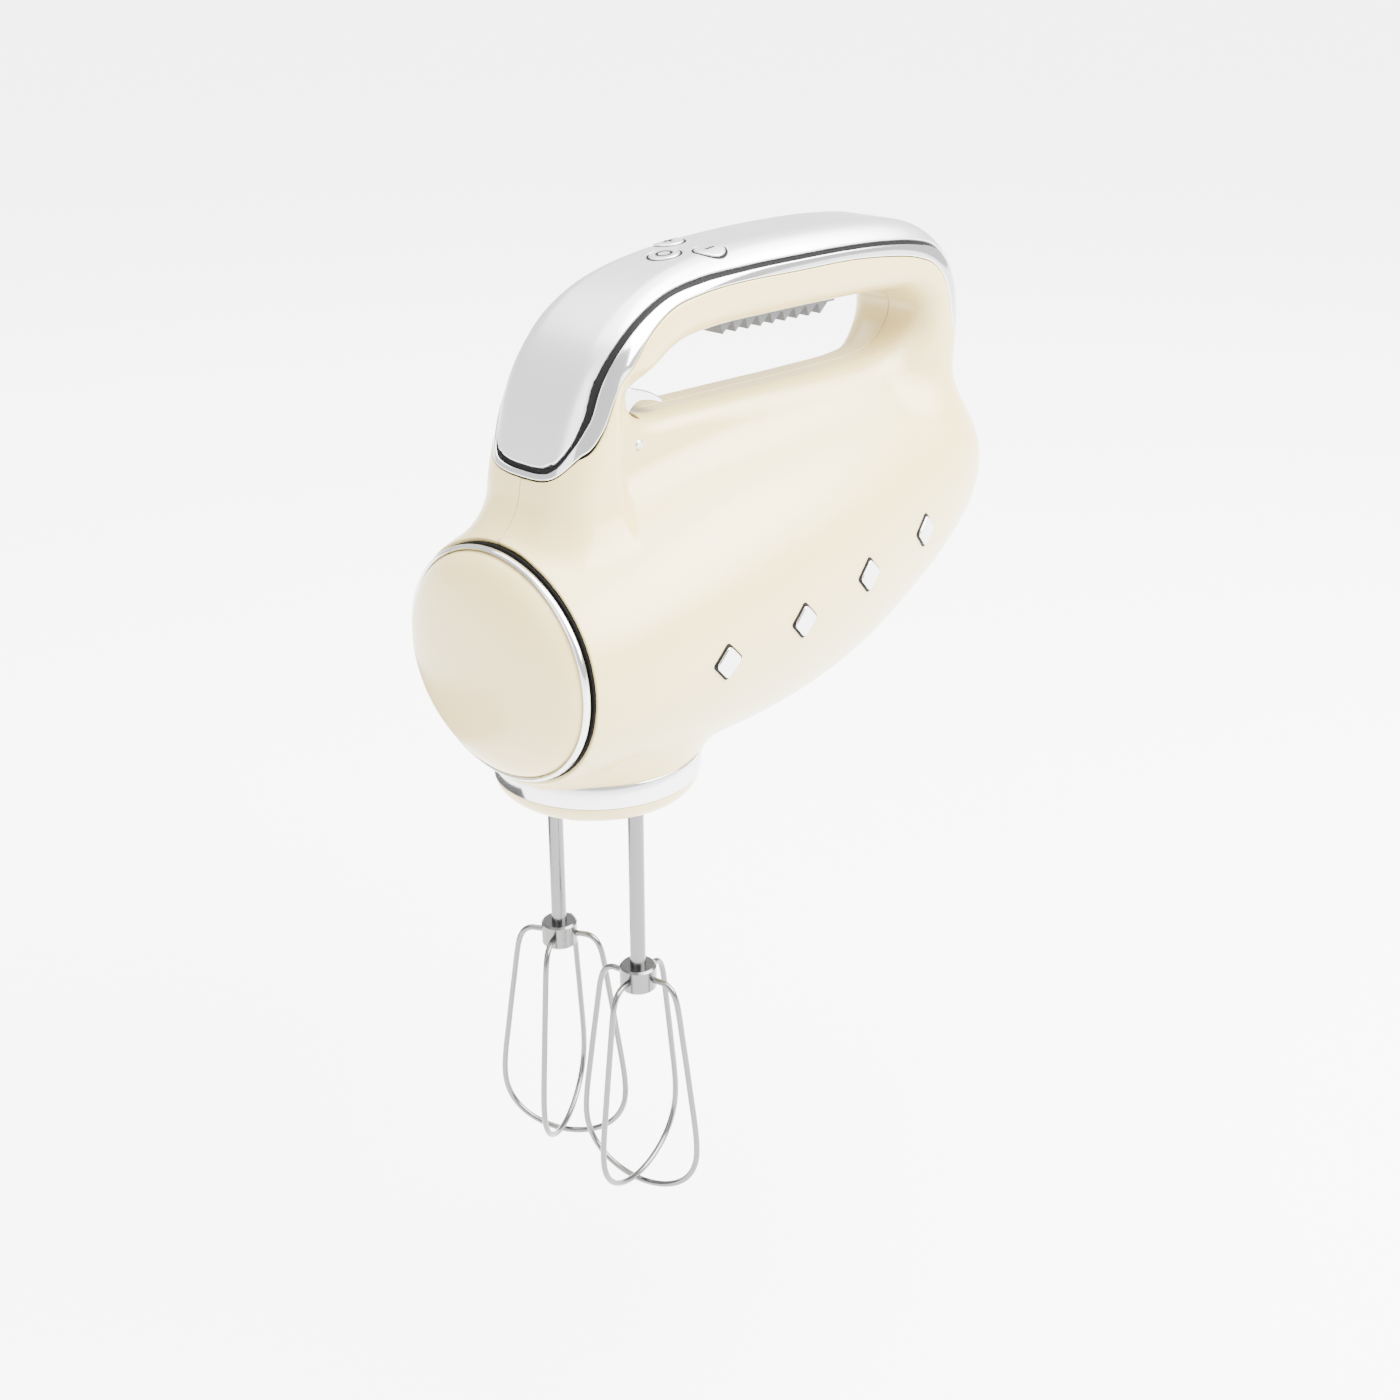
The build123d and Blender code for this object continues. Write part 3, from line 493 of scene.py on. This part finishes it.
def lathe(name, profile, centre, steps=128, wide=1.0, tall=1.0, axis="Z"):
    """Turn a profile of (radius, height) about an axis; wide and tall stretch the circle."""
    angle = np.linspace(0, 2 * math.pi, steps, endpoint=False)
    rows = []
    for radius, height in profile:
        a = radius * wide * np.cos(angle)
        b = radius * tall * np.sin(angle)
        h = np.full(steps, height)
        ring = {"X": [h, a, b], "Y": [b, h, a], "Z": [a, b, h]}[axis]
        rows.append(np.stack(ring, 1) + np.array(centre))
    piece = new_piece(name, np.vstack(rows), ring_faces(len(profile), steps))
    weld(piece)
    return piece


def coil(name, foot, radius, wire, pitch, height):
    """A helical spring along Z, standing on its foot."""
    around, along = 8, 24
    angle = np.linspace(0, 2 * math.pi * height / pitch, int(along * height / pitch))
    slope = pitch / (2 * math.pi * radius)
    radial = np.stack([np.cos(angle), np.sin(angle), 0 * angle], 1)
    forward = np.stack([-np.sin(angle), np.cos(angle), slope + 0 * angle], 1) / math.hypot(1, slope)
    aside = np.cross(forward, radial)
    rise = pitch * angle / (2 * math.pi)
    path = np.array(foot) + radius * radial + np.stack([0 * angle, 0 * angle, rise], 1)
    turn = np.arange(around) * 2 * math.pi / around
    rings = path[:, None] + wire * (np.cos(turn)[None, :, None] * radial[:, None]
                                    + np.sin(turn)[None, :, None] * aside[:, None])
    faces = [tuple(range(around)), tuple(len(path) * around - 1 - k for k in range(around))]
    piece = new_piece(name, rings.reshape(-1, 3), faces + ring_faces(len(path), around))
    weld(piece)
    return piece


def weld(piece, sharp=40.0):
    """Merge doubled points, turn every face outward and keep hard edges hard."""
    mesh = piece.data
    work = bmesh.new()
    work.from_mesh(mesh)
    bmesh.ops.remove_doubles(work, verts=work.verts, dist=1e-6)
    bmesh.ops.recalc_face_normals(work, faces=work.faces)
    work.to_mesh(mesh)
    work.free()
    mesh.polygons.foreach_set("use_smooth", [True] * len(mesh.polygons))
    mesh.set_sharp_from_angle(angle=math.radians(sharp))


def extruded(name, outline, half_width, bevel, segments=3):
    """A side outline (x, z) carried across the centre plane, with rounded edges."""
    count = len(outline)
    points = [(x, -half_width, z) for x, z in outline] + [(x, half_width, z) for x, z in outline]
    faces = [tuple(range(count)), tuple(reversed(range(count, 2 * count)))]
    faces += [((i + 1) % count, i, count + i, count + (i + 1) % count) for i in range(count)]
    piece = new_piece(name, points, faces)
    weld(piece, 180.0)
    bend = piece.modifiers.new("rounded", "BEVEL")
    bend.width = bevel * MM
    bend.segments = segments
    bend.limit_method = "ANGLE"
    bend.angle_limit = math.radians(60)
    bend.harden_normals = True
    return piece


# ---- materials ----
def material(name, color, roughness, metallic=0.0, coat=0.0, grain=900.0, bump=0.02, vary=0.03,
             rough_vary=0.05, stretch=(1.0, 1.0, 1.0), specular=0.5):
    """A finish with fine grain in its colour, gloss and surface."""
    mat = bpy.data.materials.new(name)
    mat.use_nodes = True
    tree = mat.node_tree
    tree.nodes.clear()
    out = tree.nodes.new("ShaderNodeOutputMaterial")
    shader = tree.nodes.new("ShaderNodeBsdfPrincipled")
    tree.links.new(shader.outputs["BSDF"], out.inputs["Surface"])
    shader.inputs["Metallic"].default_value = metallic
    shader.inputs["Specular IOR Level"].default_value = specular
    shader.inputs["Coat Weight"].default_value = coat
    shader.inputs["Coat Roughness"].default_value = 0.14
    where = tree.nodes.new("ShaderNodeTexCoord")
    scale = tree.nodes.new("ShaderNodeMapping")
    scale.inputs["Scale"].default_value = stretch
    tree.links.new(where.outputs["Object"], scale.inputs["Vector"])
    broad = tree.nodes.new("ShaderNodeTexNoise")
    broad.inputs["Scale"].default_value = grain * 0.06
    broad.inputs["Detail"].default_value = 4.0
    fine = tree.nodes.new("ShaderNodeTexNoise")
    fine.inputs["Scale"].default_value = grain
    fine.inputs["Detail"].default_value = 3.0
    for noise in (broad, fine):
        tree.links.new(scale.outputs["Vector"], noise.inputs["Vector"])
    tint = tree.nodes.new("ShaderNodeMix")
    tint.data_type = "RGBA"
    tint.inputs["A"].default_value = [c * (1 - vary) for c in color] + [1]
    tint.inputs["B"].default_value = [min(c * (1 + vary), 1) for c in color] + [1]
    tree.links.new(broad.outputs["Fac"], tint.inputs["Factor"])
    tree.links.new(tint.outputs["Result"], shader.inputs["Base Color"])
    gloss = tree.nodes.new("ShaderNodeMapRange")
    gloss.inputs["To Min"].default_value = max(roughness - rough_vary, 0.02)
    gloss.inputs["To Max"].default_value = roughness + rough_vary
    tree.links.new(broad.outputs["Fac"], gloss.inputs["Value"])
    tree.links.new(gloss.outputs["Result"], shader.inputs["Roughness"])
    raise_up = tree.nodes.new("ShaderNodeBump")
    raise_up.inputs["Strength"].default_value = bump
    raise_up.inputs["Distance"].default_value = 0.0002
    tree.links.new(fine.outputs["Fac"], raise_up.inputs["Height"])
    tree.links.new(raise_up.outputs["Normal"], shader.inputs["Normal"])
    return mat


finishes = {
    "cream_gloss": material("cream_gloss", (0.49, 0.39, 0.165), 0.3, coat=0.15, grain=700, bump=0.01,
                            vary=0.012),
    "panel_satin": material("panel_satin", (0.62, 0.62, 0.63), 0.3, metallic=0.85, grain=2500, bump=0.03,
                            vary=0.01, rough_vary=0.03),
    "bright_chrome": material("bright_chrome", (0.58, 0.58, 0.59), 0.11, metallic=1.0, grain=500, bump=0.004,
                              vary=0.01, rough_vary=0.03),
    # dark_seal serves both the dark print of the button marks and painted shade: near-black pieces set in the
    # gaps behind the nose ring, in the handle groove, round the buttons and round the lozenges.
    "dark_seal": material("dark_seal", (0.004, 0.004, 0.0042), 0.6, grain=3000, bump=0.2, vary=0.2,
                          specular=0.08),
    "grip_grey": material("grip_grey", (0.075, 0.078, 0.082), 0.5, grain=2600, bump=0.25, vary=0.08,
                          specular=0.3),
    # beater_steel is far darker than bare steel: painted shade standing in for the dark surroundings that the
    # beaters reflect.
    "beater_steel": material("beater_steel", (0.12, 0.12, 0.12), 0.24, metallic=1.0, grain=1800, bump=0.03,
                             vary=0.05, stretch=(1.0, 1.0, 0.12)),
    "machine_steel": material("machine_steel", (0.5, 0.51, 0.52), 0.34, metallic=1.0, grain=2200, bump=0.06,
                              vary=0.06),
    "bearing_brass": material("bearing_brass", (0.66, 0.47, 0.2), 0.3, metallic=1.0, grain=1500, bump=0.05,
                              vary=0.06),
    "winding_copper": material("winding_copper", (0.6, 0.24, 0.09), 0.32, metallic=0.9, grain=1400, bump=0.5,
                               vary=0.14, stretch=(0.1, 1.0, 1.0)),
    "lamination": material("lamination", (0.14, 0.14, 0.15), 0.5, metallic=0.7, grain=1600, bump=0.5,
                           vary=0.15, stretch=(1.0, 0.05, 0.05)),
    "gear_nylon": material("gear_nylon", (0.78, 0.76, 0.68), 0.42, grain=900, bump=0.04, vary=0.03),
    "case_nylon": material("case_nylon", (0.03, 0.032, 0.036), 0.5, grain=2400, bump=0.2, vary=0.2),
    "carbon": material("carbon", (0.02, 0.02, 0.02), 0.6, grain=3000, bump=0.3, vary=0.25),
    "circuit_board": material("circuit_board", (0.02, 0.16, 0.06), 0.35, coat=0.3, grain=600, bump=0.05,
                              vary=0.25),
    "component_black": material("component_black", (0.02, 0.02, 0.024), 0.45, grain=1800, bump=0.12,
                                vary=0.2),
}

for row in frame["record"]["subparts"]:
    carried = bpy.data.objects.get(row["node"])
    if carried is not None:
        carried.data.materials.clear()
        carried.data.materials.append(finishes[row["material_slot"]])

# ---- the skin and its cuts ----
PITCH = 1.3
skin_low = (-38.0, -46.0, 5.0)
skin_high = (166.0, 46.0, 158.0)
skin_points, skin_tris = surface_net(skin, skin_low, skin_high, PITCH)
skin_points = settle(skin, skin_points, rounds=5)


def tip_lift(p):
    """How far the band's line rises towards the corners of the front leg, so that its tip is a U."""
    return 3.4 * (np.minimum(np.abs(p[:, 1]), 18.0) / 16.0) ** 3 * ease((-9.0 - p[:, 0]) / 12.0)


def trim_below(p):
    return look_up(trim_map, p[:, 0], p[:, 2] - tip_lift(p))


def band_over(p):
    return look_up(band_top_map, p[:, 0], p[:, 2] - tip_lift(p))


def cover_over(p):
    return look_up(cover_map, p[:, 0], p[:, 2] - tip_lift(p))


def lever_slot(p):
    """Positive outside the slot that the eject lever comes through."""
    side = slab(p[:, 1], -slot_half, slot_half)
    along = slab(p[:, 0], *slot_x)
    tall = slab(p[:, 2], *slot_z)
    return np.maximum(np.maximum(side, along), tall)


def grip_pocket(p):
    """Positive outside the pocket for the soft grip, on the underside of the handle only."""
    side = slab(p[:, 1], -pocket_half, pocket_half)
    along = slab(p[:, 0], *pocket_x)
    tall = slab(p[:, 2], *pocket_z)
    return np.maximum(round_max(side, along, 2.0), tall)


def button_holes(p):
    spots = [(button_x, 0.0), (small_button_x, -small_button_y), (small_button_x, small_button_y)]
    gap = np.min([np.hypot(p[:, 0] - x, p[:, 1] - y) for x, y in spots], axis=0)
    return np.where(p[:, 2] > 140, gap - (button_r + hole_gap), 9.0)


def cut_skin(*cuts):
    points, tris = skin_points, skin_tris
    for cut in cuts:
        points, tris = clip(skin, points, tris, cut, PITCH)
    return points, normals_of(skin, points), tris


def housing_half(side):
    lip = 0.35
    points, normals, tris = cut_skin(
        lambda p: side * p[:, 1] - lip - seam_gap,
        lambda p: trim_below(p) - lip - trim_edge_gap,
        lambda p: p[:, 0] - nose_edge_x - lip,
        lambda p: lever_slot(p) - lip,
        lambda p: grip_pocket(p) - lip)
    return with_lip(points, normals, tris, lip, 1.9)


def band_piece():
    lip = 0.45
    points, normals, tris = cut_skin(lambda p: -trim_below(p) - lip - 0.1, lambda p: band_over(p) - lip)
    return with_lip(points, normals, tris, lip, 1.4)


def panel_reach(p):
    """Positive above the groove; the panel bulges into it beside each small button."""
    spot = np.stack([p[:, 0] - small_button_x, np.abs(p[:, 1]) - small_button_y, p[:, 2] - 153.5], 1)
    return np.maximum(-cover_over(p), 8.0 - np.linalg.norm(spot, axis=1))


def panel_piece():
    lip = 0.5
    points, normals, tris = cut_skin(lambda p: panel_reach(p) - lip, lambda p: button_holes(p) - lip)
    return with_lip(points, normals, tris, lip, 1.4)


# The dark strip sunk 0.9 mm into the groove between band and panel is painted shade in that gap.
def groove_piece():
    points, normals, tris = cut_skin(lambda p: 1.6 - trim_below(p), lambda p: cover_over(p) + 1.6)
    return points - 0.9 * normals, normals, tris


for name, side, node in (("housing_shell_left", -1, "housing_left"),
                         ("housing_shell_right", 1, "housing_right")):
    points, normals, tris = housing_half(side)
    finish_piece(new_piece(name, points, tris, normals), "cream_gloss", "housing", node)

points, normals, tris = band_piece()
finish_piece(new_piece("handle_band", points, tris, normals), "bright_chrome", "housing", "handle_trim")

points, normals, tris = panel_piece()
finish_piece(new_piece("handle_panel", points, tris, normals), "panel_satin", "housing", "handle_cover")

# ---- small raised things that follow the skin ----
def skin_patch(low, high, pitch, cuts, rise, lip, depth):
    """A piece of the skin inside some cuts, lifted and given rounded edges."""
    points, tris = surface_net(skin, low, high, pitch)
    points = settle(skin, points)
    for cut in cuts:
        points, tris = clip(skin, points, tris, cut, pitch)
    normals = normals_of(skin, points)
    return with_lip(points + rise * normals, normals, tris, lip, depth)


def join_patches(patches):
    points, normals, tris, base = [], [], [], 0
    for p, n, t in patches:
        points.append(p)
        normals.append(n)
        tris.append(t + base)
        base += len(p)
    return np.vstack(points), np.vstack(normals), np.vstack(tris)


def button(name, x, y, body, marks):
    """A round cap just above the panel, with its mark in dark ink."""
    low, high = (x - 6.0, y - 6.0, 147.0), (x + 6.0, y + 6.0, 158.0)

    def disc(p):
        return button_r - cap_inset - np.hypot(p[:, 0] - x, p[:, 1] - y)
    points, normals, tris = skin_patch(low, high, 0.5, [disc], cap_rise, 0.4, 1.6)
    finish_piece(new_piece(name + "_cap", points, tris, normals), "panel_satin", body, name)
    inks = [skin_patch(low, high, 0.25, [mark], mark_rise, 0.02, 0.03) for mark in marks]
    points, normals, tris = join_patches(inks)
    finish_piece(new_piece(name + "_mark", points, tris, normals), "dark_seal", body)


def ring_mark(x, y, radius, half):
    return lambda p: half - np.abs(np.hypot(p[:, 0] - x, p[:, 1] - y) - radius)


def bar_mark(x, y, half_x, half_y):
    return lambda p: -np.maximum(np.abs(p[:, 0] - x) - half_x, np.abs(p[:, 1] - y) - half_y)


def cross_mark(x, y, long, half):
    def mark(p):
        u, v = np.abs(p[:, 0] - x), np.abs(p[:, 1] - y)
        return -np.minimum(np.maximum(u - long, v - half), np.maximum(u - half, v - long))
    return mark


# A dark disc just under the panel round each button, seen through the gap round the cap: painted shade in the
# hole.
def button_well(x, y):
    return skin_patch((x - 7.0, y - 7.0, 147.0), (x + 7.0, y + 7.0, 158.0), 0.8,
                      [lambda p: 5.5 - np.hypot(p[:, 0] - x, p[:, 1] - y)], -0.15, 0.1, 0.1)


# The groove strip and the button wells share the dark_seal finish: painted shade in the gaps.
points, normals, tris = join_patches([groove_piece(), button_well(button_x, 0.0),
                                      button_well(small_button_x, small_button_y),
                                      button_well(small_button_x, -small_button_y)])
finish_piece(new_piece("handle_groove", points, tris, normals), "dark_seal", "housing", "handle_gasket")

button("power_button", button_x, 0.0, "power_button", [ring_mark(button_x, 0.0, 2.1, 0.4)])
button("minus_button", small_button_x, -small_button_y, "minus_button",
       [bar_mark(small_button_x, -small_button_y, 1.8, 0.42)])
button("plus_button", small_button_x, small_button_y, "plus_button",
       [cross_mark(small_button_x, small_button_y, 1.8, 0.42)])


def lozenges(name, side, node):
    """Four bright lozenges on one flank, each on a thin dark edge of painted shade round its sides."""
    tops, edges = [], []
    for x, z in lozenge_spots:
        y = side * float(interpolate(stations[:, 0], stations[:, 3], np.array([x]))[0])
        near, far = sorted((y + side * 2.0, y - side * 9.0))
        low, high = (x - 7.5, near, z - 7.5), (x + 7.5, far, z + 7.5)

        def diamond(size):
            def cut(p):
                u = np.abs(p[:, 0] - x + p[:, 2] - z) / math.sqrt(2) - size
                v = np.abs(p[:, 0] - x - p[:, 2] + z) / math.sqrt(2) - size
                return -round_max(u, v, 1.0)
            return cut
        tops.append(skin_patch(low, high, 0.6, [diamond(lozenge_half)], lozenge_rise, 0.45, 0.9))
        edges.append(skin_patch(low, high, 0.6, [diamond(lozenge_shade_half)], 0.3, 0.1, 0.5))
    points, normals, tris = join_patches(tops)
    finish_piece(new_piece(name, points, tris, normals), "bright_chrome", "housing", node)
    # The dark edges are painted shade round the raised lozenges.
    points, normals, tris = join_patches(edges)
    finish_piece(new_piece(name + "_edge", points, tris, normals), "dark_seal", "housing")


lozenges("lozenges_left", 1, "badges_left")
lozenges("lozenges_right", -1, "badges_right")

# ---- eject lever ----
lip_top = smooth_run([(5.2, 107.0), (4.8, 112.0), (5.6, 117.4), (8.8, 120.0), (13.5, 119.3), (18.6, 117.4),
                      (22.6, 115.0)], per_span=6)
lip_under = smooth_run([(22.2, 113.9), (17.6, 115.4), (12.8, 115.7), (9.6, 113.2), (9.2, 110.0),
                        (10.4, 106.0)], per_span=6)
finish_piece(extruded("eject_lip", [tuple(q) for q in np.vstack([lip_top, lip_under])], lever_half, 0.5),
             "bright_chrome", "eject_lever", "eject_lever")

pin_half = spine_half + pin_edge
pin_profile = [(0.0, -pin_half), (pin_r - pin_edge, -pin_half), (pin_r, pin_edge - pin_half),
               (pin_r, pin_half - pin_edge), (pin_r - pin_edge, pin_half), (0.0, pin_half)]
finish_piece(lathe("lever_pin_ends", pin_profile, (pin_x, 0, pin_z), steps=32, axis="Y"),
             "machine_steel", "housing", "lever_pin")

# ---- return spring, drawn at one length; the real one shortens as the ejector plate comes down ----
spring_low, spring_high = 62.0, 70.0
return_spring = coil("return_spring", (spring_x, 0.0, spring_low), 3.0, 0.4, 1.9, spring_high - spring_low)
return_spring.data.materials.append(finishes["machine_steel"])
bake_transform(return_spring)
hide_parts("ejector_spring")

# ---- nose: dark ring of painted shade in the recess, bright ring, domed cap ----
# The dark ring behind the bright ring is painted shade in the gap between ring and housing.
recess = [(nose_ry - 2.0, 3.6), (nose_ry - 2.0, 1.6), (nose_ry + 0.3, 1.6), (nose_ry + 0.3, 4.6)]
finish_piece(lathe("nose_recess", recess, (nose_x, 0, nose_z), tall=nose_rz / nose_ry, axis="X"),
             "dark_seal", "housing", "nose_gasket")

ring_profile = []
for turn in range(0, 360, 30):
    t = math.radians(turn)
    ring_profile.append((nose_ry - ring_thick + ring_thick * math.cos(t), 0.1 + ring_wide * math.sin(t)))
ring_profile.append(ring_profile[0])
finish_piece(lathe("nose_band", ring_profile, (nose_x, 0, nose_z), tall=nose_rz / nose_ry, axis="X"),
             "bright_chrome", "housing", "nose_ring")

cap_r = nose_ry - 1.6
cap_profile = [(cap_r, 1.8)]
for k in range(0, 25):
    t = math.pi / 2 * k / 24
    cap_profile.append((cap_r * math.cos(t) ** 0.95, -nose_dome * math.sin(t)))
finish_piece(lathe("nose_dome", cap_profile, (nose_x, 0, nose_z), tall=(nose_rz - 1.6) / cap_r, axis="X"),
             "cream_gloss", "housing", "nose_cap")

# ---- collar band ----
band_profile = [(28.6, collar_top + 0.2), (collar_r - 0.55, collar_top), (collar_r - 0.2, collar_top + 0.3),
                (collar_r + 0.2, collar_seat - 0.3), (collar_r, collar_seat), (29.0, collar_seat),
                (28.6, collar_top + 0.2)]
finish_piece(lathe("collar_band", band_profile, (collar_x, 0, 0), steps=160), "bright_chrome", "housing",
             "collar_ring")

# ---- camera and studio ----
view = bpy.data.cameras.new("camera")
view.lens = 46.303
view.sensor_width = 36.0
camera = bpy.data.objects.new("camera", view)
right = (0.7106, -0.7036, 0.0)
up = (0.2821, 0.2849, 0.9161)
back = (-0.6446, -0.6510, 0.4009)
place = (-0.31911, -0.36772, 0.23997)
turn = Matrix((right, up, back)).transposed().to_4x4()
camera.matrix_world = Matrix.Translation(place) @ turn
bpy.context.scene.collection.objects.link(camera)
bpy.context.scene.camera = camera


def lamp(name, place, aim, size, power):
    light = bpy.data.lights.new(name, "AREA")
    light.shape = "RECTANGLE"
    light.size, light.size_y = size
    light.energy = power
    lamp_object = bpy.data.objects.new(name, light)
    lamp_object.location = place
    to = np.array(aim) - np.array(place)
    lamp_object.rotation_euler = Vector(to).to_track_quat("-Z", "Y").to_euler()
    bpy.context.scene.collection.objects.link(lamp_object)


lamp("key", (0.62, -0.95, 0.9), (0.05, 0, 0.05), (1.2, 1.0), 85.0)
lamp("fill", (-1.1, -0.1, 0.6), (0.0, 0, 0.05), (0.8, 1.0), 10.0)
lamp("top", (0.1, 0.3, 1.4), (0.05, 0, 0.05), (1.6, 1.6), 60.0)

sun = bpy.data.lights.new("sun", "SUN")
sun.energy = 16.0
sun.angle = math.radians(70)
sun_object = bpy.data.objects.new("sun", sun)
sun_object.rotation_euler = Vector((-0.35, 0.45, -1.0)).to_track_quat("-Z", "Y").to_euler()
bpy.context.scene.collection.objects.link(sun_object)


def gloss_card(name, corners):
    """A dark card that only reflections see, for contrast in the bright metal."""
    card = new_piece(name, corners, [(0, 1, 2, 3)])
    card.data.materials.append(finishes["carbon"])
    for flag in ("visible_camera", "visible_diffuse", "visible_shadow", "visible_transmission"):
        setattr(card, flag, False)


card_z = cad_box[0][2] / MM + 1.0
gloss_card("card_left", [(-210, 150, card_z), (-360, 270, card_z), (120, 460, card_z), (65, 240, card_z)])

world = bpy.data.worlds.new("studio")
bpy.context.scene.world = world
world.use_nodes = True
world.node_tree.nodes["Background"].inputs["Color"].default_value = (1.0, 1.0, 1.0, 1.0)
world.node_tree.nodes["Background"].inputs["Strength"].default_value = 1.85

floor_z = cad_box[0][2] / MM - floor_room
floor = new_piece("floor", [(-60000, -60000, floor_z), (60000, -60000, floor_z), (60000, 60000, floor_z),
                            (-60000, 60000, floor_z)], [(0, 1, 2, 3)])
floor.data.materials.append(material("floor_paper", (0.93, 0.93, 0.925), 0.9, grain=300, vary=0.004))
